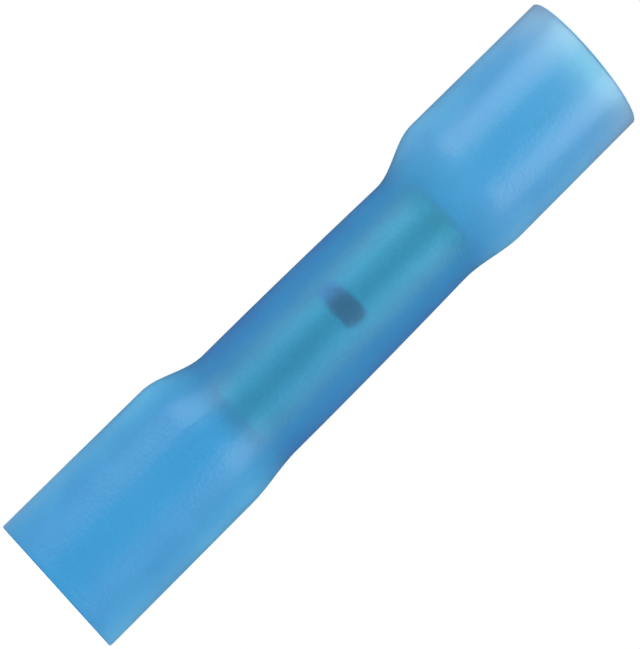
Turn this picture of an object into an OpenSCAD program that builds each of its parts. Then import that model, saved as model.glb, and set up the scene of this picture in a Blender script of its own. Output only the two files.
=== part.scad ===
// Heat-shrink butt splice connector that joins two stranded copper wires end to end.
// A blue polyolefin sleeve is shrunk onto a tinned copper crimp barrel, so the sleeve's middle
// necks in and its two ends stay open as flared mouths. The sleeve was cut to length at a slant,
// so the connector stands on its lower cut face and its axis leans by the slant of that cut.
// The origin is the centre of the lower mouth, +Z is up and the wire stop faces -Y.

/* [Sleeve] */
// Length of the sleeve along its own axis
sleeve_length = 36; // [33:0.5:45]
// Outer diameter at the lower mouth
lower_mouth_d = 7.7; // [7.2:0.02:9]
// Outer diameter of the lower flare where it meets its shoulder
lower_root_d = 7.6; // [7.2:0.02:8.6]
// Outer diameter of the upper flare where it meets its shoulder
upper_root_d = 7.54; // [7.2:0.02:8.6]
// Outer diameter at the upper mouth
upper_mouth_d = 7.46; // [7.2:0.02:9]
// Bore of the two mouths
mouth_bore_d = 5.9; // [5:0.1:6.3]
// Slant of the lower end cut off square, in degrees
lower_slant = 2.7; // [0:0.1:8]
// Slant of the upper end cut off square, in degrees
upper_slant = 4.3; // [0:0.1:8]

/* [Neck] */
// Length of the neck between the two shoulders
neck_length = 11.75; // [9:0.25:15]
// Outer diameter of the neck at its lower end
neck_lower_d = 6.44; // [5.8:0.02:6.9]
// Outer diameter of the neck at its upper end
neck_upper_d = 6.14; // [5.6:0.02:6.9]
// Length of each S-shaped shoulder between a flare and the neck
shoulder_length = 3.3; // [2:0.1:4.5]
// Height of the neck's middle above the sleeve's middle, along the axis
neck_rise = 0.645; // [-2:0.005:2]
// Distance by which the neck sits off the axis of the mouths, towards +X
neck_offset = 0.28; // [0:0.01:0.5]

/* [Crimp barrel] */
// Length of the barrel
barrel_length = 14; // [11:0.5:16]
// Height of the barrel's middle above the neck's middle
barrel_rise = 0.125; // [-1:0.005:1]
// Outer diameter of the barrel
barrel_d = 4.1; // [3.6:0.05:4.6]
// Bore of the barrel, for the stripped wire
barrel_bore_d = 2.5; // [2:0.05:2.9]
// Chamfer that leads the wire into each end of the bore
lead_in = 0.3; // [0.1:0.05:0.4]
// Chamfer that breaks the outer edge of each end
edge_break = 0.12; // [0.05:0.01:0.3]

/* [Wire stop] */
// Size of the pressed stop across the barrel
stop_width = 2.4; // [1.4:0.1:2.8]
// Size of the pressed stop along the barrel
stop_height = 1.35; // [0.8:0.05:2]
// Radius of the stop's corners, as seen from outside
stop_corner_r = 0.45; // [0.1:0.05:0.6]
// Height of the stop above the barrel's middle
stop_rise = 0.5; // [-1.5:0.05:1.5]

/* [Fits] */
// Gap between the neck's bore and the barrel, on the radius
barrel_gap = 0.03; // [0.02:0.01:0.1]

/* [Hidden] */

// Smoothness of the round parts, the lofted shoulders and the drawn curves
$fn = 96;
loft_sides = 64;
loft_steps = 8;
curve_steps = 8;

// The lofts start this much wider than the flare and end this much narrower than the neck,
// so that each crosses the round part that it joins
seam = 0.006;

// Places along the sleeve's axis
neck_mid_z = sleeve_length / 2 + neck_rise;
neck_low_z = neck_mid_z - neck_length / 2;
neck_high_z = neck_mid_z + neck_length / 2;
flare_low_z = neck_low_z - shoulder_length;
flare_high_z = neck_high_z + shoulder_length;

// Radii of the sleeve and of the barrel
lower_mouth_r = lower_mouth_d / 2;
lower_root_r = lower_root_d / 2;
upper_root_r = upper_root_d / 2;
upper_mouth_r = upper_mouth_d / 2;
mouth_bore_r = mouth_bore_d / 2;
neck_lower_r = neck_lower_d / 2;
neck_upper_r = neck_upper_d / 2;
barrel_r = barrel_d / 2;
barrel_bore_r = barrel_bore_d / 2;
neck_bore_r = barrel_r + barrel_gap;
barrel_wall = barrel_r - barrel_bore_r;

// The stop is the barrel's wall pressed in by the whole bore, so its web closes the bore
stop_depth = barrel_bore_d;
web_height = stop_height + 2 * barrel_wall;
web_r = barrel_bore_r + barrel_wall / 2;

// The neck reaches this far into each shoulder
neck_reach = shoulder_length / 4;

// The flares run past the slanted cuts by this much before they are cut, and the hollow runs further
cut_spare = max(lower_mouth_d, upper_mouth_d) * tan(max(lower_slant, upper_slant)) + 1;
hollow_spare = cut_spare + 1;
cut_block = 4 * sleeve_length;

function mix(a, b, u) = a + (b - a) * u;

// Smooth S-curve from 0 to 1
function ease(u) = u * u * (3 - 2 * u);

// Points of an arc round a centre, from one angle to another
function arc(centre, r, from, to) = [
    for (i = [0:curve_steps])
        let (angle = mix(from, to, i / curve_steps))
        centre + r * [cos(angle), sin(angle)]
];

// One ring of a loft, in order round its centre
function ring(offset, r, z) = [
    for (j = [0:loft_sides - 1])
        let (angle = 360 * j / loft_sides)
        [offset + r * cos(angle), r * sin(angle), z]
];

// Loft that is wide past the mouth, then follows the S-shaped shoulder down to the neck, which has
// another radius and another centre. It stands on the flare's root with the neck above.
module bell(flare_length, root_r, neck_end_r) {
    rings = concat(
        ring(0, 2 * root_r, -2 * flare_length),
        [
            for (i = [0:loft_steps])
                let (u = i / loft_steps, s = ease(u))
                each ring(neck_offset * s, mix(root_r + seam, neck_end_r - seam, s), shoulder_length * u)
        ]
    );
    underside = [for (j = [0:loft_sides - 1]) j];
    sides = [
        for (i = [0:loft_steps], j = [0:loft_sides - 1])
            let (k = (j + 1) % loft_sides, below = i * loft_sides, above = below + loft_sides)
            [below + j, above + j, above + k, below + k]
    ];
    top = [for (j = underside) len(rings) - 1 - j];
    polyhedron(rings, concat([underside], sides, [top]));
}

// Flare and shoulder of one end, standing on the flare's root with the mouth below and the neck above
module tube_end(flare_length, root_r, end_r, neck_end_r, spare) {
    taper = (end_r - root_r) / flare_length;
    reach = flare_length + spare;
    wide_r = root_r + taper * reach;
    narrow_r = root_r - taper * shoulder_length;
    intersection() {
        translate([0, 0, -reach])
            cylinder(h = reach + shoulder_length, r1 = wide_r, r2 = narrow_r);
        bell(flare_length, root_r, neck_end_r);
    }
}

// Lower flare and shoulder, of the outside or of the hollow
module lower_end(root_r, end_r, neck_end_r, spare) {
    translate([0, 0, flare_low_z])
        tube_end(flare_low_z, root_r, end_r, neck_end_r, spare);
}

// Upper flare and shoulder, of the outside or of the hollow
module upper_end(root_r, end_r, neck_end_r, spare) {
    translate([0, 0, flare_high_z])
        rotate([180, 0, 0])
            tube_end(sleeve_length - flare_high_z, root_r, end_r, neck_end_r, spare);
}

// Outside of the sleeve before its ends are cut, with a neck that thins ever faster upwards
module sleeve_outside() {
    outline = [
        for (i = [0:curve_steps])
            let (u = i / curve_steps)
            [mix(neck_lower_r, neck_upper_r, u * u), mix(neck_low_z, neck_high_z, u)]
    ];
    neck_foot = neck_low_z - neck_reach;
    neck_head = neck_high_z + neck_reach;
    lower_end(lower_root_r, lower_mouth_r, neck_lower_r, cut_spare);
    upper_end(upper_root_r, upper_mouth_r, neck_upper_r, cut_spare);
    translate([neck_offset, 0, 0])
        rotate_extrude()
            polygon(concat(
                [[0, neck_foot], [neck_lower_r, neck_foot]],
                outline,
                [[neck_upper_r, neck_head], [0, neck_head]]
            ));
}

// Hollow of the sleeve: two mouths, two shoulders and the neck's bore
module sleeve_hollow() {
    lower_end(mouth_bore_r, mouth_bore_r, neck_bore_r, hollow_spare);
    upper_end(mouth_bore_r, mouth_bore_r, neck_bore_r, hollow_spare);
    translate([neck_offset, 0, neck_low_z - neck_reach])
        cylinder(h = neck_length + 2 * neck_reach, r = neck_bore_r);
}

// Leans the sleeve's axis so that its slanted lower cut lies level
module standing() {
    rotate([0, -lower_slant, 0]) children();
}

// Room above the level lower cut
module above_lower_cut() {
    translate([0, 0, cut_block / 2])
        cube(cut_block, center = true);
}

// Room below the upper cut
module below_upper_cut() {
    standing()
        translate([0, 0, sleeve_length])
            rotate([0, upper_slant, 0])
                translate([0, 0, -cut_block / 2])
                    cube(cut_block, center = true);
}

// Heat-shrink sleeve
module sleeve() {
    color("#4c9fd0", 0.8)
        intersection() {
            standing()
                difference() {
                    sleeve_outside();
                    sleeve_hollow();
                }
            above_lower_cut();
            below_upper_cut();
        }
}

// Tube of the barrel, with a lead-in at each end of its bore
module barrel_tube() {
    end_z = barrel_length / 2;
    rotate_extrude()
        polygon([
            [barrel_bore_r, lead_in - end_z],
            [barrel_bore_r + lead_in, -end_z],
            [barrel_r - edge_break, -end_z],
            [barrel_r, edge_break - end_z],
            [barrel_r, end_z - edge_break],
            [barrel_r - edge_break, end_z],
            [barrel_bore_r + lead_in, end_z],
            [barrel_bore_r, end_z - lead_in]
        ]);
}

// Round-nosed shape of the dent that the press leaves in the wall, pushed in along +Y
module stop_dent() {
    half_h = stop_height / 2;
    half_w = stop_width / 2;
    corner_r = min(stop_corner_r, half_h);
    nose_y = stop_depth - barrel_r;
    side = concat(
        [[-barrel_d, -half_h]],
        arc([nose_y - half_h, 0], half_h, -90, 90),
        [[-barrel_d, half_h]]
    );
    plan = concat(
        arc([half_w - corner_r, half_h - corner_r], corner_r, 0, 90),
        arc([corner_r - half_w, half_h - corner_r], corner_r, 90, 180),
        arc([corner_r - half_w, corner_r - half_h], corner_r, 180, 270),
        arc([half_w - corner_r, corner_r - half_h], corner_r, 270, 360)
    );
    intersection() {
        rotate([90, 0, 90])
            linear_extrude(2 * stop_width, center = true)
                polygon(side);
        rotate([90, 0, 0])
            linear_extrude(3 * barrel_d, center = true)
                polygon(plan);
    }
}

// Tinned copper barrel, with one wire socket on each side of its stop
module barrel() {
    color("#c8c4b8")
        standing()
            translate([neck_offset, 0, neck_mid_z + barrel_rise])
                difference() {
                    union() {
                        barrel_tube();
                        translate([0, 0, stop_rise])
                            cylinder(h = web_height, r = web_r, center = true);
                    }
                    translate([0, 0, stop_rise])
                        stop_dent();
                }
}

sleeve();
barrel();
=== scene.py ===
"""Looks of a heat-shrink butt splice connector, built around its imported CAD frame.

The connector stands on its lower cut face. A blue translucent sleeve has been shrunk onto a tinned
crimp barrel, so the sleeve has a neck, two S-shaped shoulders and two open flared mouths.
"""

from __future__ import annotations

import logging
import math
from dataclasses import dataclass, field
from enum import Enum

import bpy
from mathutils import Euler, Matrix, Vector

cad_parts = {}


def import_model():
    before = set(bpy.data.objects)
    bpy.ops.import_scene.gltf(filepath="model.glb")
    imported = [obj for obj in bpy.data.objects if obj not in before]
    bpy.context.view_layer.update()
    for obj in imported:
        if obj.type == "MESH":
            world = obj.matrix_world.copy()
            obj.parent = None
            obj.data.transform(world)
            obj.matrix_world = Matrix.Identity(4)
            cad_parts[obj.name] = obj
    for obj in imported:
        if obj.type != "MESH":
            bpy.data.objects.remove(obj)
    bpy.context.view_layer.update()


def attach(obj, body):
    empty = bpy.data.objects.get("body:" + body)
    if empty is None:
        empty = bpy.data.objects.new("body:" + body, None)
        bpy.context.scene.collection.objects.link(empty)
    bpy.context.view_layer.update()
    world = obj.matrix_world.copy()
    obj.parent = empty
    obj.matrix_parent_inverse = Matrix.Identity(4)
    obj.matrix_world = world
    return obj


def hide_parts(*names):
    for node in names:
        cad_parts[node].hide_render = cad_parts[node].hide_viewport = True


LOG = logging.getLogger("butt_splice")

MM = 0.001
BODY = "root"
IMAGE_WIDTH = 640
IMAGE_HEIGHT = 649
FULL_TURN = 2 * math.pi
# Power of an area lamp, for each square metre and each unit of radiance.
LAMP_POWER = 4
SHRUNK = "shrunk"
MOUTH_GLOW = "mouth_glow"
PRESS_SHADE = "pressed"

Colour = tuple[float, float, float, float]


class Rays(Enum):
    """Kinds of ray that see the pale studio as it looks, not as it lights."""

    CAMERA = "Is Camera Ray"
    TRANSMISSION = "Is Transmission Ray"


class Hand(Enum):
    """Side of the camera on which a lamp stands."""

    LEFT = -1
    RIGHT = 1


def linear(hex_colour: str) -> Colour:
    """Turns an sRGB colour into linear light.

    Args:
        hex_colour: a hash and six hex digits.

    Returns:
        Red, green and blue in linear light, and an alpha of 1.
    """
    encoded = [int(hex_colour[i : i + 2], 16) / 255 for i in (1, 3, 5)]
    red, green, blue = (
        c / 12.92 if c <= 0.04045 else ((c + 0.055) / 1.055) ** 2.4 for c in encoded
    )
    return red, green, blue, 1.0


def mix(a: float, b: float, share: float) -> float:
    """Goes from one number to another by a share."""
    return a + (b - a) * share


def ease(share: float) -> float:
    """Smooth S-curve from 0 to 1, held level outside that range."""
    held = min(max(share, 0.0), 1.0)
    return held * held * (3 - 2 * held)


def spread(low: float, high: float, steps: int) -> list[float]:
    """Even steps from one number up or down to another, both ends included."""
    return [mix(low, high, i / steps) for i in range(steps + 1)]


def add_node(
    tree: bpy.types.NodeTree,
    kind: str,
    inputs: dict[str | int, object] | None = None,
    **settings: object,
) -> bpy.types.Node:
    """Adds a node with its settings, its values and its links.

    Args:
        tree: node tree that gets the node.
        kind: Blender's name for the type of node.
        inputs: a value or another node's socket for each input, by its name or number.
        settings: the node's own properties.

    Returns:
        The new node.
    """
    node = tree.nodes.new(kind)
    for name, value in settings.items():
        setattr(node, name, value)
    for key, value in (inputs or {}).items():
        if isinstance(value, bpy.types.NodeSocket):
            tree.links.new(value, node.inputs[key])
        else:
            node.inputs[key].default_value = value
    return node


def blank_material(name: str) -> tuple[bpy.types.Material, bpy.types.NodeTree]:
    """Makes a material with an empty node tree.

    Args:
        name: the finish that the material shows.

    Returns:
        The material and its tree.
    """
    material = bpy.data.materials.new(name)
    material.use_nodes = True
    material.node_tree.nodes.clear()
    return material, material.node_tree


def seen_share(tree: bpy.types.NodeTree) -> bpy.types.NodeSocket:
    """Tells rays that look at the studio from rays that only gather its light.

    Args:
        tree: node tree of the world or of a backdrop.

    Returns:
        A socket that is 1 for the kinds in Rays and 0 for all others.
    """
    path = add_node(tree, "ShaderNodeLightPath")
    either = add_node(
        tree,
        "ShaderNodeMath",
        {i: path.outputs[kind.value] for i, kind in enumerate(Rays)},
        operation="MAXIMUM",
    )
    return either.outputs[0]


def mesh_object(
    name: str, rings: list[list[Vector]], turn: Matrix, closed: bool
) -> bpy.types.Object:
    """Skins a row of rings into one smooth solid.

    Args:
        name: name of the piece.
        rings: points round each ring in millimetres, all rings with the same number of points, or a
            ring of one point for a pole.
        turn: turn from the rings' axes to the row frame.
        closed: True joins the last ring to the first.

    Returns:
        The linked object.
    """
    points: list[Vector] = []
    starts: list[int] = []
    for ring in rings:
        starts.append(len(points))
        points.extend(turn @ p * MM for p in ring)
    faces: list[tuple[int, ...]] = []
    count = len(rings)
    for i in range(count if closed else count - 1):
        below, above = i, (i + 1) % count
        low, high = starts[below], starts[above]
        sides = max(len(rings[below]), len(rings[above]))
        for j in range(sides):
            k = (j + 1) % sides
            if len(rings[below]) == 1:
                faces.append((low, high + k, high + j))
            elif len(rings[above]) == 1:
                faces.append((low + j, low + k, high))
            else:
                faces.append((low + j, low + k, high + k, high + j))
    mesh = bpy.data.meshes.new(name)
    mesh.from_pydata(points, [], faces)
    mesh.update()
    mesh.shade_smooth()
    piece = bpy.data.objects.new(name, mesh)
    bpy.context.scene.collection.objects.link(piece)
    return piece


@dataclass(frozen=True)
class Stance:
    """How the connector stands: its axis leans by the slant of the lower cut, in degrees."""

    lower_slant: float = 2.7
    upper_slant: float = 4.3

    @property
    def lean(self) -> Euler:
        """Angles of the turn from the connector's own axes to the row frame."""
        return Euler((0, math.radians(-self.lower_slant), 0))

    @property
    def turn(self) -> Matrix:
        """Turn from the connector's own axes to the row frame."""
        return self.lean.to_matrix()

    @property
    def lower_fall(self) -> float:
        """Fall of the lower cut towards +X, in the connector's own axes."""
        return math.tan(math.radians(self.lower_slant))

    @property
    def upper_fall(self) -> float:
        """Fall of the upper cut towards +X, in the connector's own axes."""
        return math.tan(math.radians(self.upper_slant))


@dataclass(frozen=True)
class ShrunkPolyolefin:
    """Cross-linked polyolefin tubing, extruded, blown wide and shrunk by heat."""

    # A milky clear blue: one wall tints what lies behind it lightly, two walls and the long way
    # through an edge tint it deeply. The satin skin spreads highlights wide, and the die leaves
    # faint lines along the tube. The shrunk neck is clearer and a little greener, and the upper
    # flare turns paler towards its mouth: painted light for light coming in through the open mouth.
    stance: Stance
    tint: str = "#f0fcff"
    cloud_tint: str = "#f4fdff"
    depth_tint: str = "#8feefb"
    # Strength of the tint for each millimetre of the way through the wall.
    depth_density: float = 2.7
    milk_tint: str = "#65c9f9"
    neck_tint: str = "#5acbf0"
    # Painted light: a pale colour towards the upper mouth, standing for light that comes in through
    # the open mouth.
    glow_tint: str = "#c3e3f6"
    milk_gloss: float = 0.3
    milk_front: float = 0.21
    milk_edge: float = 0.75
    milk_change: float = 0.4
    edge_blend: float = 0.73
    neck_milk: float = 0.145
    neck_edge: float = 0.24
    # Share of milk in the painted light at the upper mouth.
    glow_milk: float = 0.36
    refraction: float = 1.5
    satin: float = 0.32
    satin_change: float = 0.05
    neck_satin: float = 0.46
    # Die lines are about 0.1 mm apart, too fine to show, so they are drawn coarser.
    die_line_width: float = 0.35
    die_line_length: float = 9.0
    # The pigment lies in soft clouds a few millimetres across.
    cloud_width: float = 3.0
    cloud_detail: float = 3.0
    # The skin's own grain is about 0.05 mm, too fine to show, so it is drawn coarser.
    grain_width: float = 0.2
    relief: float = 0.02
    relief_detail: float = 2.0

    def satin_level(
        self,
        tree: bpy.types.NodeTree,
        clouds: bpy.types.NodeSocket,
        shrunk: bpy.types.NodeSocket,
    ) -> bpy.types.NodeSocket:
        """Makes the roughness of the skin, cloudy on the flares and even on the neck.

        Args:
            tree: node tree of the finish.
            clouds: cloud pattern.
            shrunk: share of the way from a flare to the neck.

        Returns:
            The roughness.
        """
        flare = add_node(
            tree,
            "ShaderNodeMapRange",
            {
                "Value": clouds,
                "To Min": self.satin - self.satin_change,
                "To Max": self.satin + self.satin_change,
            },
        )
        level = add_node(
            tree,
            "ShaderNodeMapRange",
            {"Value": shrunk, "To Min": flare.outputs[0], "To Max": self.neck_satin},
        )
        return level.outputs[0]

    def relief_normal(
        self, tree: bpy.types.NodeTree, place: bpy.types.NodeSocket
    ) -> bpy.types.NodeSocket:
        """Makes the direction of the surface with its die lines and grain.

        Args:
            tree: node tree of the finish.
            place: place on the piece.

        Returns:
            The direction.
        """
        line_size = Vector((self.die_line_width, self.die_line_width, self.die_line_length)) * MM
        drawn = add_node(
            tree,
            "ShaderNodeMapping",
            {"Vector": place, "Rotation": self.stance.lean, "Scale": line_size},
            vector_type="TEXTURE",
        )
        lines = add_node(
            tree,
            "ShaderNodeTexNoise",
            {"Vector": drawn.outputs[0], "Scale": 1.0, "Detail": self.relief_detail},
        )
        grain = add_node(
            tree,
            "ShaderNodeTexNoise",
            {"Vector": place, "Scale": 1 / (self.grain_width * MM), "Detail": self.relief_detail},
        )
        height = add_node(
            tree,
            "ShaderNodeMath",
            {0: lines.outputs["Fac"], 1: grain.outputs["Fac"]},
            operation="ADD",
        )
        bump = add_node(
            tree,
            "ShaderNodeBump",
            {"Height": height.outputs[0], "Distance": self.relief * MM, "Strength": 1.0},
        )
        return bump.outputs[0]

    def milk_colour(
        self,
        tree: bpy.types.NodeTree,
        shrunk: bpy.types.NodeSocket,
        mouth_glow: bpy.types.NodeSocket,
    ) -> bpy.types.NodeSocket:
        """Makes the colour of the milk in the wall.

        Args:
            tree: node tree of the finish.
            shrunk: share of the way from a flare to the neck.
            mouth_glow: share of the painted light towards the upper mouth.

        Returns:
            The colour.
        """
        haze = add_node(
            tree,
            "ShaderNodeMix",
            {"Factor": shrunk, "A": linear(self.milk_tint), "B": linear(self.neck_tint)},
            data_type="RGBA",
        )
        # Painted light: the milk turns pale towards the upper mouth.
        glowing = add_node(
            tree,
            "ShaderNodeMix",
            {"Factor": mouth_glow, "A": haze.outputs["Result"], "B": linear(self.glow_tint)},
            data_type="RGBA",
        )
        return glowing.outputs["Result"]

    def milk_share(
        self,
        tree: bpy.types.NodeTree,
        clouds: bpy.types.NodeSocket,
        shrunk: bpy.types.NodeSocket,
        mouth_glow: bpy.types.NodeSocket,
    ) -> bpy.types.NodeSocket:
        """Makes the share of milk in the wall, which grows towards edges and changes in clouds.

        Args:
            tree: node tree of the finish.
            clouds: cloud pattern.
            shrunk: share of the way from a flare to the neck.
            mouth_glow: share of the painted light towards the upper mouth.

        Returns:
            The share.
        """
        edge = add_node(tree, "ShaderNodeLayerWeight", {"Blend": self.edge_blend}).outputs["Facing"]
        flare = add_node(
            tree,
            "ShaderNodeMapRange",
            {"Value": edge, "To Min": self.milk_front, "To Max": self.milk_edge},
        )
        neck = add_node(
            tree,
            "ShaderNodeMapRange",
            {"Value": edge, "To Min": self.neck_milk, "To Max": self.neck_edge},
        )
        along = add_node(
            tree,
            "ShaderNodeMapRange",
            {"Value": shrunk, "To Min": flare.outputs[0], "To Max": neck.outputs[0]},
        )
        # Painted light: the milk thickens towards the upper mouth.
        mouth_lit = add_node(
            tree,
            "ShaderNodeMapRange",
            {"Value": mouth_glow, "To Min": along.outputs[0], "To Max": self.glow_milk},
        )
        cloudy = add_node(
            tree,
            "ShaderNodeMapRange",
            {"Value": clouds, "To Min": 1 - self.milk_change, "To Max": 1 + self.milk_change},
        )
        share = add_node(
            tree,
            "ShaderNodeMath",
            {0: mouth_lit.outputs[0], 1: cloudy.outputs[0]},
            operation="MULTIPLY",
        )
        return share.outputs[0]

    def make(self) -> bpy.types.Material:
        """Builds the material.

        Returns:
            The finished material.
        """
        material, tree = blank_material("polyolefin_heat_shrink_extruded")
        place = add_node(tree, "ShaderNodeTexCoord").outputs["Object"]
        clouds = add_node(
            tree,
            "ShaderNodeTexNoise",
            {"Vector": place, "Scale": 1 / (self.cloud_width * MM), "Detail": self.cloud_detail},
        ).outputs["Fac"]
        shrunk = add_node(tree, "ShaderNodeAttribute", attribute_name=SHRUNK).outputs["Fac"]
        mouth_glow = add_node(tree, "ShaderNodeAttribute", attribute_name=MOUTH_GLOW).outputs["Fac"]
        satin = self.satin_level(tree, clouds, shrunk)
        relief = self.relief_normal(tree, place)
        colour = add_node(
            tree,
            "ShaderNodeMix",
            {"Factor": clouds, "A": linear(self.tint), "B": linear(self.cloud_tint)},
            data_type="RGBA",
        )
        skin = add_node(
            tree,
            "ShaderNodeBsdfPrincipled",
            {
                "Base Color": colour.outputs["Result"],
                "Roughness": satin,
                "IOR": self.refraction,
                "Transmission Weight": 1.0,
                "Normal": relief,
            },
        )
        milk = add_node(
            tree,
            "ShaderNodeBsdfPrincipled",
            {
                "Base Color": self.milk_colour(tree, shrunk, mouth_glow),
                "Roughness": satin,
                "IOR": self.refraction,
                "Specular IOR Level": self.milk_gloss,
                "Normal": relief,
            },
        )
        share = self.milk_share(tree, clouds, shrunk, mouth_glow)
        wall = add_node(
            tree, "ShaderNodeMixShader", {0: share, 1: skin.outputs[0], 2: milk.outputs[0]}
        )
        depth = add_node(
            tree,
            "ShaderNodeVolumeAbsorption",
            {"Color": linear(self.depth_tint), "Density": self.depth_density / MM},
        )
        add_node(
            tree,
            "ShaderNodeOutputMaterial",
            {"Surface": wall.outputs[0], "Volume": depth.outputs[0]},
        )
        return material


@dataclass(frozen=True)
class TinnedCopper:
    """Copper tube, drawn, cut, pressed and tinned by plating."""

    # A pale, slightly warm grey metal that is dull enough to show lamps as broad bands. Drawing
    # leaves fine lines along the tube, and handling leaves cloudy duller patches. The press mark's
    # recess is coloured with painted shade, dark and bluish, and stronger where it is deeper.
    stance: Stance
    bright: str = "#e6e2c4"
    dull: str = "#d6d3b6"
    # Painted shade: the dark bluish colour given to the press mark's recess.
    mark: str = "#3a7cb8"
    gloss_low: float = 0.37
    gloss_high: float = 0.47
    # Draw lines are about 0.03 mm apart, too fine to show, so they are drawn coarser.
    line_width: float = 0.12
    line_length: float = 4.0
    line_detail: float = 3.0
    # Handling dulls the plating in patches of about a millimetre.
    patch_width: float = 1.1
    patch_detail: float = 4.0
    relief: float = 0.004

    def make(self) -> bpy.types.Material:
        """Builds the material.

        Returns:
            The finished material.
        """
        material, tree = blank_material("tinned_copper_drawn_and_plated")
        place = add_node(tree, "ShaderNodeTexCoord").outputs["Object"]
        line_size = Vector((self.line_width, self.line_width, self.line_length)) * MM
        drawn = add_node(
            tree,
            "ShaderNodeMapping",
            {"Vector": place, "Rotation": self.stance.lean, "Scale": line_size},
            vector_type="TEXTURE",
        )
        lines = add_node(
            tree,
            "ShaderNodeTexNoise",
            {"Vector": drawn.outputs[0], "Scale": 1.0, "Detail": self.line_detail},
        )
        patches = add_node(
            tree,
            "ShaderNodeTexNoise",
            {"Vector": place, "Scale": 1 / (self.patch_width * MM), "Detail": self.patch_detail},
        )
        plating = add_node(
            tree,
            "ShaderNodeMix",
            {
                "Factor": patches.outputs["Fac"],
                "A": linear(self.bright),
                "B": linear(self.dull),
            },
            data_type="RGBA",
        )
        # Painted shade in the press mark's recess, from the share that the barrel carries.
        pressed = add_node(tree, "ShaderNodeAttribute", attribute_name=PRESS_SHADE)
        colour = add_node(
            tree,
            "ShaderNodeMix",
            {
                "Factor": pressed.outputs["Fac"],
                "A": plating.outputs["Result"],
                "B": linear(self.mark),
            },
            data_type="RGBA",
        )
        gloss = add_node(
            tree,
            "ShaderNodeMapRange",
            {
                "Value": patches.outputs["Fac"],
                "To Min": self.gloss_low,
                "To Max": self.gloss_high,
            },
        )
        bump = add_node(
            tree,
            "ShaderNodeBump",
            {"Height": lines.outputs["Fac"], "Distance": self.relief * MM, "Strength": 1.0},
        )
        metal = add_node(
            tree,
            "ShaderNodeBsdfPrincipled",
            {
                "Base Color": colour.outputs["Result"],
                "Metallic": 1.0,
                "Roughness": gloss.outputs[0],
                "Normal": bump.outputs[0],
            },
        )
        add_node(tree, "ShaderNodeOutputMaterial", {"Surface": metal.outputs[0]})
        return material


@dataclass(frozen=True)
class StudioPaper:
    """Matte white paper under the object."""

    # Pure pale ground that the camera sees as white and that still darkens where the object
    # shades it.
    white: str = "#f4f4f4"
    glow: float = 0.55

    def make(self) -> bpy.types.Material:
        """Builds the material.

        Returns:
            The finished material.
        """
        material, tree = blank_material("studio_paper_matte")
        glow = add_node(
            tree,
            "ShaderNodeMath",
            {0: seen_share(tree), 1: self.glow},
            operation="MULTIPLY",
        )
        paper = add_node(tree, "ShaderNodeBsdfDiffuse", {"Color": linear(self.white)})
        shine = add_node(tree, "ShaderNodeEmission", {"Strength": glow.outputs[0]})
        both = add_node(tree, "ShaderNodeAddShader", {0: paper.outputs[0], 1: shine.outputs[0]})
        add_node(tree, "ShaderNodeOutputMaterial", {"Surface": both.outputs[0]})
        return material


@dataclass(frozen=True)
class Station:
    """One place along a tube's profile, in millimetres."""

    radius: float
    height: float


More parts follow.
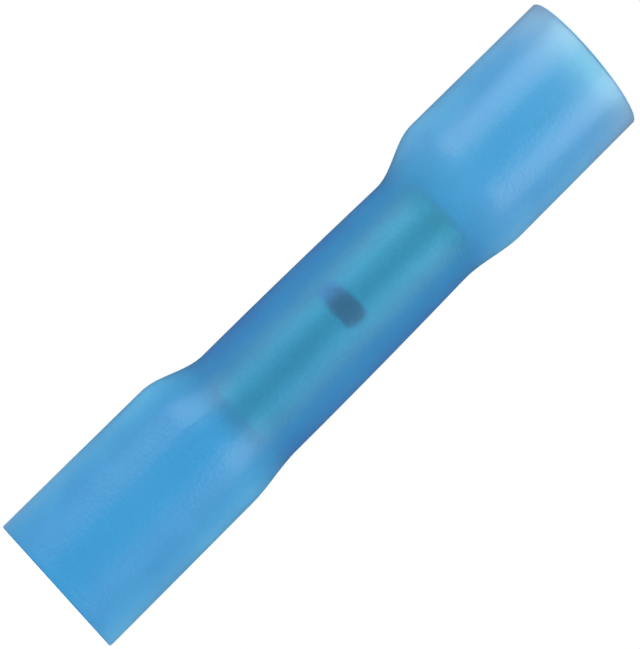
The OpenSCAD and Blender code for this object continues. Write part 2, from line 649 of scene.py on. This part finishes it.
@dataclass
class Sleeve:
    """Heat-shrink sleeve: two flared mouths, two shoulders and a neck, in millimetres."""

    stance: Stance
    skin: ShrunkPolyolefin
    length: float = 36.0
    lower_mouth_r: float = 3.85
    lower_root_r: float = 3.8
    upper_root_r: float = 3.77
    upper_mouth_r: float = 3.73
    mouth_bore_r: float = 2.95
    neck_low: float = 12.77
    neck_high: float = 24.52
    neck_lower_r: float = 3.22
    neck_upper_r: float = 3.07
    neck_bore_r: float = 2.08
    neck_shift: float = 0.28
    shoulder: float = 3.3
    rim_round: float = 0.09
    # Length and slight share of the painted light that pales the upper flare towards its mouth.
    glow_length: float = 6.0
    flare_glow: float = 0.12
    sides: int = 160
    step: float = 0.34
    rim_steps: int = 5

    @property
    def flare_low(self) -> float:
        """Height at which the lower flare meets its shoulder."""
        return self.neck_low - self.shoulder

    @property
    def flare_high(self) -> float:
        """Height at which the upper flare meets its shoulder."""
        return self.neck_high + self.shoulder

    @property
    def wall_rows(self) -> int:
        """Number of rows of faces along the outside, and along the hollow."""
        return round((self.length - 2 * self.rim_round) / self.step)

    def grip(self, height: float) -> float:
        """Share of the way from a flare to the neck.

        Args:
            height: place along the axis.

        Returns:
            The share, from 0 on the flares to 1 on the neck.
        """
        rise = ease((height - self.flare_low) / self.shoulder)
        fall = ease((self.flare_high - height) / self.shoulder)
        return min(rise, fall)

    def mouth_glow_share(self, height: float) -> float:
        """Share of the painted light that pales the upper flare towards its open mouth.

        Args:
            height: place along the axis.

        Returns:
            The share, which is slight on the flare, rises with the cube of the way to the mouth,
            and is 0 on the mouth's rounded rim and cut face.
        """
        if height > self.length - self.rim_round:
            return 0.0
        past = max(0.0, height - self.length + self.glow_length) / self.glow_length
        slight = self.flare_glow * ease((height - self.neck_high) / self.shoulder)
        return mix(slight, 1.0, past**3)

    def outer_radius(self, height: float) -> float:
        """Radius of the outside.

        Args:
            height: place along the axis.

        Returns:
            The radius there.
        """
        if height < self.flare_low:
            return mix(self.lower_mouth_r, self.lower_root_r, height / self.flare_low)
        if height > self.flare_high:
            past = (height - self.flare_high) / (self.length - self.flare_high)
            return mix(self.upper_root_r, self.upper_mouth_r, past)
        share = min(max((height - self.neck_low) / (self.neck_high - self.neck_low), 0.0), 1.0)
        neck_r = mix(self.neck_lower_r, self.neck_upper_r, share * share)
        root_r = self.lower_root_r if height < self.neck_low else self.upper_root_r
        return mix(root_r, neck_r, self.grip(height))

    def inner_radius(self, height: float) -> float:
        """Radius of the hollow at a height."""
        return mix(self.mouth_bore_r, self.neck_bore_r, self.grip(height))

    def profile(self) -> list[Station]:
        """Closed outline of the wall: lower rim, outside, upper rim, hollow.

        Returns:
            The stations in order.
        """
        round_r = self.rim_round
        quarter = spread(0.0, math.pi / 2, self.rim_steps)
        low, high = round_r, self.length - round_r
        heights = spread(low, high, self.wall_rows)
        outside = [Station(self.outer_radius(h), h) for h in heights]
        hollow = [Station(self.inner_radius(h), h) for h in reversed(heights)]
        mouth_in = self.mouth_bore_r + round_r
        low_out, high_out = self.lower_mouth_r - round_r, self.upper_mouth_r - round_r
        lower_in = [
            Station(mouth_in - round_r * math.cos(t), low - round_r * math.sin(t))
            for t in quarter[1:]
        ]
        lower_out = [
            Station(low_out + round_r * math.sin(t), low - round_r * math.cos(t))
            for t in quarter[:-1]
        ]
        upper_out = [
            Station(high_out + round_r * math.cos(t), high + round_r * math.sin(t))
            for t in quarter[1:]
        ]
        upper_in = [
            Station(mouth_in - round_r * math.sin(t), high + round_r * math.cos(t))
            for t in quarter[:-1]
        ]
        return lower_in + lower_out + outside + upper_out + upper_in + hollow

    def ring(self, station: Station) -> list[Vector]:
        """Points round the tube at a station, tipped onto the slanted cuts near the mouths.

        Args:
            station: place on the profile.

        Returns:
            The ring's points.
        """
        low_share = max(0.0, 1 - station.height / self.flare_low)
        high_share = max(0.0, (station.height - self.flare_high) / (self.length - self.flare_high))
        tip = self.stance.lower_fall * low_share + self.stance.upper_fall * high_share
        shift = self.neck_shift * self.grip(station.height)
        points = []
        for j in range(self.sides):
            angle = FULL_TURN * j / self.sides
            x = shift + station.radius * math.cos(angle)
            y = station.radius * math.sin(angle)
            points.append(Vector((x, y, station.height - tip * x)))
        return points

    def build(self) -> bpy.types.Object:
        """Makes the sleeve and sets it in the frame.

        Returns:
            The sleeve.
        """
        stations = self.profile()
        rings = [self.ring(station) for station in stations]
        piece = mesh_object("heat_shrink_sleeve", rings, self.stance.turn, closed=True)
        # The second share carries the painted light towards the upper mouth.
        for name, measure in ((SHRUNK, self.grip), (MOUTH_GLOW, self.mouth_glow_share)):
            shares = [measure(station.height) for station in stations for _ in range(self.sides)]
            piece.data.attributes.new(name, "FLOAT", "POINT").data.foreach_set("value", shares)
        return piece

    def dress(self, piece: bpy.types.Object) -> None:
        """Gives the sleeve its finish and its place on the part.

        Args:
            piece: the sleeve.
        """
        piece.data.materials.append(self.skin.make())
        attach(piece, BODY)
        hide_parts("sleeve")


@dataclass
class Barrel:
    """Crimp barrel: a tube with two wire sockets and a pressed stop between, in millimetres."""

    stance: Stance
    finish: TinnedCopper
    length: float = 14.0
    outer_r: float = 2.05
    bore_r: float = 1.25
    middle: float = 18.77
    shift: float = 0.28
    lead_in: float = 0.3
    edge_break: float = 0.12
    stop_rise: float = 0.35
    stop_shift: float = -0.22
    stop_width: float = 2.4
    stop_height: float = 1.25
    stop_corner_r: float = 0.45
    stop_depth: float = 2.5
    stop_draft: float = 0.2
    # The press struck askew: seen from the struck side, its mark runs out in a long slope on the
    # left and a short one on the right.
    left_ramp: float = 1.75
    right_ramp: float = 0.55
    end_curve: float = 0.22
    # Share of the press mark's painted shade where it is shallow.
    shallow_shade: float = 0.75
    web_rise: float = 0.5
    web_height: float = 2.95
    sides: int = 192
    fine_step: float = 0.04
    coarse_step: float = 0.4
    sharp_angle: float = 30.0

    def profile(self) -> list[Station]:
        """Outline from the lower socket's floor, round the outside, to the upper socket's floor.

        Returns:
            The stations in order, with heights from the barrel's middle.
        """
        end = self.length / 2
        web_low = self.web_rise - self.web_height / 2
        web_high = self.web_rise + self.web_height / 2
        near = self.stop_rise - self.stop_height / 2 - self.stop_draft
        far = self.stop_rise + self.stop_height / 2 + self.stop_draft
        low, high = self.edge_break - end, end - self.edge_break
        heights = (
            spread(low, near, round((near - low) / self.coarse_step))[:-1]
            + spread(near, far, round((far - near) / self.fine_step))
            + spread(far, high, round((high - far) / self.coarse_step))[1:]
        )
        mouth_r = self.bore_r + self.lead_in
        rim_r = self.outer_r - self.edge_break
        return [
            Station(0.0, web_low),
            Station(self.bore_r, web_low),
            Station(self.bore_r, self.lead_in - end),
            Station(mouth_r, -end),
            Station(rim_r, -end),
            *[Station(self.outer_r, h) for h in heights],
            Station(rim_r, end),
            Station(mouth_r, end),
            Station(self.bore_r, end - self.lead_in),
            Station(self.bore_r, web_high),
            Station(0.0, web_high),
        ]

    def pressed(self, point: Vector) -> float:
        """Share of the press's depth at a point of the outside.

        Args:
            point: place from the barrel's middle, with the struck side at -Y.

        Returns:
            The share, from 0 beside the mark to 1 inside it.
        """
        if point.y > 0:
            return 0.0
        corner = Vector(
            (
                max(abs(point.x - self.stop_shift) - self.stop_width / 2 + self.stop_corner_r, 0.0),
                max(abs(point.z - self.stop_rise) - self.stop_height / 2 + self.stop_corner_r, 0.0),
            )
        )
        return ease((self.stop_corner_r - corner.length) / self.stop_draft)

    def floor_y(self, point: Vector) -> float:
        """Place of the press mark's floor, rounded across and rising to the outside at both ends.

        Args:
            point: place on the outside from the barrel's middle.

        Returns:
            The floor's place along Y.
        """
        half_w, half_h = self.stop_width / 2, self.stop_height / 2
        rise = min(abs(point.z - self.stop_rise), half_h)
        deep = self.stop_depth - self.outer_r - half_h + math.sqrt(half_h**2 - rise**2)
        off = point.x - self.stop_shift
        left, right = (half_w + off) / self.left_ramp, (half_w - off) / self.right_ramp
        inward = min(left, right) - self.end_curve * (rise / half_h) ** 2
        return mix(point.y, deep, ease(inward) ** 2)

    def ring(self, station: Station) -> list[Vector]:
        """Points round the barrel at a station, or the one point of a socket floor's centre.

        Args:
            station: place on the profile.

        Returns:
            The ring's points from the barrel's middle.
        """
        if station.radius == 0:
            return [Vector((0, 0, station.height))]
        angles = [FULL_TURN * j / self.sides for j in range(self.sides)]
        return [
            Vector((station.radius * math.cos(a), station.radius * math.sin(a), station.height))
            for a in angles
        ]

    def build(self) -> bpy.types.Object:
        """Makes the barrel and sets it in the frame.

        Returns:
            The barrel.
        """
        place = Vector((self.shift, 0, self.middle))
        rings, press_shades = [], []
        for station in self.profile():
            struck = station.radius == self.outer_r
            ring = self.ring(station)
            shares = [self.pressed(p) if struck else 0.0 for p in ring]
            sunk = [
                share * (self.floor_y(p) - p.y) if share else 0.0 for p, share in zip(ring, shares)
            ]
            rings.append([place + p + Vector((0, depth, 0)) for p, depth in zip(ring, sunk)])
            # Painted shade: the press mark gets more of its dark colour the deeper it is.
            shade_shares = [mix(self.shallow_shade, 1.0, depth / self.stop_depth) for depth in sunk]
            press_shades.extend(share * dull for share, dull in zip(shares, shade_shares))
        piece = mesh_object("crimp_barrel", rings, self.stance.turn, closed=False)
        piece.data.attributes.new(PRESS_SHADE, "FLOAT", "POINT").data.foreach_set("value", press_shades)
        piece.data.set_sharp_from_angle(angle=math.radians(self.sharp_angle))
        return piece

    def dress(self, piece: bpy.types.Object) -> None:
        """Gives the barrel its finish and its place on the part.

        Args:
            piece: the barrel.
        """
        piece.data.materials.append(self.finish.make())
        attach(piece, BODY)
        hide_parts("barrel")


@dataclass(frozen=True)
class Softbox:
    """Tall soft lamp beside the camera, in millimetres and degrees."""

    hand: Hand
    swing: float = 53.0
    distance: float = 260.0
    width: float = 205.0
    height: float = 282.0
    middle: float = 160.0
    radiance: float = 2.3

    def build(self) -> bpy.types.Object:
        """Hangs the lamp so that it faces the middle of the connector.

        Returns:
            The lamp.
        """
        lamp = bpy.data.lights.new(f"softbox_{self.hand.name.lower()}", "AREA")
        lamp.shape = "RECTANGLE"
        lamp.size = self.width * MM
        lamp.size_y = self.height * MM
        lamp.energy = LAMP_POWER * lamp.size * lamp.size_y * self.radiance
        lamp_object = bpy.data.objects.new(lamp.name, lamp)
        turn = math.radians(self.swing) * self.hand.value
        outward = Vector((math.sin(turn), -math.cos(turn), 0))
        lamp_object.location = (outward * self.distance + Vector((0, 0, self.middle))) * MM
        lamp_object.rotation_euler = outward.to_track_quat("Z", "Y").to_euler()
        bpy.context.scene.collection.objects.link(lamp_object)
        return lamp_object


@dataclass(frozen=True)
class View:
    """Camera that sees the connector along a rising diagonal, in mm, degrees and pixels."""

    stance: Stance
    focal_px: float = 4332.0
    distance: float = 209.0
    tilt: float = 4.8
    rise: float = 44.78
    target_along: float = 17.97
    target_across: float = 0.11
    target_px: tuple[float, float] = (323.2, 325.0)
    sensor: float = 36.0
    nearest: float = 10.0

    def build(self) -> bpy.types.Object:
        """Sets up the camera.

        Returns:
            The camera.
        """
        data = bpy.data.cameras.new("camera")
        data.sensor_width = self.sensor
        data.lens = self.focal_px / max(IMAGE_WIDTH, IMAGE_HEIGHT) * self.sensor
        data.clip_start = self.nearest * MM
        camera = bpy.data.objects.new("camera", data)
        turn = self.stance.turn
        across, away, along = turn.col[0], turn.col[1], turn.col[2]
        tilt, rise = math.radians(self.tilt), math.radians(self.rise)
        look = away * math.cos(tilt) + along * math.sin(tilt)
        upward = along * math.cos(tilt) - away * math.sin(tilt)
        right = upward * math.cos(rise) + across * math.sin(rise)
        up = upward * math.sin(rise) - across * math.cos(rise)
        target = along * self.target_along + across * self.target_across
        px = self.distance / self.focal_px
        off_right = (self.target_px[0] - IMAGE_WIDTH / 2) * px
        off_up = (IMAGE_HEIGHT / 2 - self.target_px[1]) * px
        place = target - look * self.distance - right * off_right - up * off_up
        pose = Matrix((right, up, -look)).transposed().to_4x4()
        pose.translation = place * MM
        camera.matrix_world = pose
        bpy.context.scene.collection.objects.link(camera)
        bpy.context.scene.camera = camera
        return camera


@dataclass
class Studio:
    """Pale floor, pale surroundings that darken behind, two soft lamps and the camera."""

    stance: Stance
    paper: StudioPaper = field(default_factory=StudioPaper)
    floor_half: float = 240.0
    white: str = "#ffffff"
    fill: float = 0.3
    gloss_fill: float = 0.32
    gloss_behind: float = 0.05
    dark_from: float = 0.7
    dark_full: float = 0.97
    right_middle: float = 195.0
    right_radiance: float = 2.6

    def build_floor(self) -> bpy.types.Object:
        """Lays the floor under the connector.

        Returns:
            The floor.
        """
        half = self.floor_half * MM
        mesh = bpy.data.meshes.new("studio_floor")
        corners = [(-half, -half, 0), (half, -half, 0), (half, half, 0), (-half, half, 0)]
        mesh.from_pydata(corners, [], [(0, 1, 2, 3)])
        mesh.materials.append(self.paper.make())
        floor = bpy.data.objects.new("studio_floor", mesh)
        bpy.context.scene.collection.objects.link(floor)
        return floor

    def build_world(self) -> None:
        """Surrounds the scene with white to look at, and with a weaker fill light.

        Mirror light is darker from behind, and that draws the thin dark outline of the tube.
        """
        world = bpy.data.worlds.new("studio_world")
        world.use_nodes = True
        tree = world.node_tree
        tree.nodes.clear()
        path = add_node(tree, "ShaderNodeLightPath")
        direction = add_node(tree, "ShaderNodeTexCoord")
        parts = add_node(tree, "ShaderNodeSeparateXYZ", {0: direction.outputs["Generated"]})
        mirrored = add_node(
            tree,
            "ShaderNodeMapRange",
            {
                "Value": parts.outputs["Y"],
                "From Min": self.dark_from,
                "From Max": self.dark_full,
                "To Min": self.gloss_fill,
                "To Max": self.gloss_behind,
            },
        )
        lighting = add_node(
            tree,
            "ShaderNodeMapRange",
            {
                "Value": path.outputs["Is Glossy Ray"],
                "To Min": self.fill,
                "To Max": mirrored.outputs[0],
            },
        )
        strength = add_node(
            tree,
            "ShaderNodeMapRange",
            {"Value": seen_share(tree), "To Min": lighting.outputs[0], "To Max": 1.0},
        )
        sky = add_node(
            tree,
            "ShaderNodeBackground",
            {"Color": linear(self.white), "Strength": strength.outputs[0]},
        )
        add_node(tree, "ShaderNodeOutputWorld", {"Surface": sky.outputs[0]})
        bpy.context.scene.world = world

    def build(self) -> None:
        """Sets up everything round the connector."""
        self.build_floor()
        self.build_world()
        Softbox(Hand.LEFT).build()
        Softbox(Hand.RIGHT, middle=self.right_middle, radiance=self.right_radiance).build()
        View(self.stance).build()
        bpy.context.scene.view_settings.view_transform = "Standard"


def main() -> None:
    """Loads the frame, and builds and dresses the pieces."""
    logging.basicConfig(level=logging.INFO, format="%(message)s")
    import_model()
    stance = Stance()
    Studio(stance).build()
    for maker in (Sleeve(stance, ShrunkPolyolefin(stance)), Barrel(stance, TinnedCopper(stance))):
        piece = maker.build()
        maker.dress(piece)
        LOG.info("%s: %d faces", piece.name, len(piece.data.polygons))


if __name__ == "__main__":
    main()
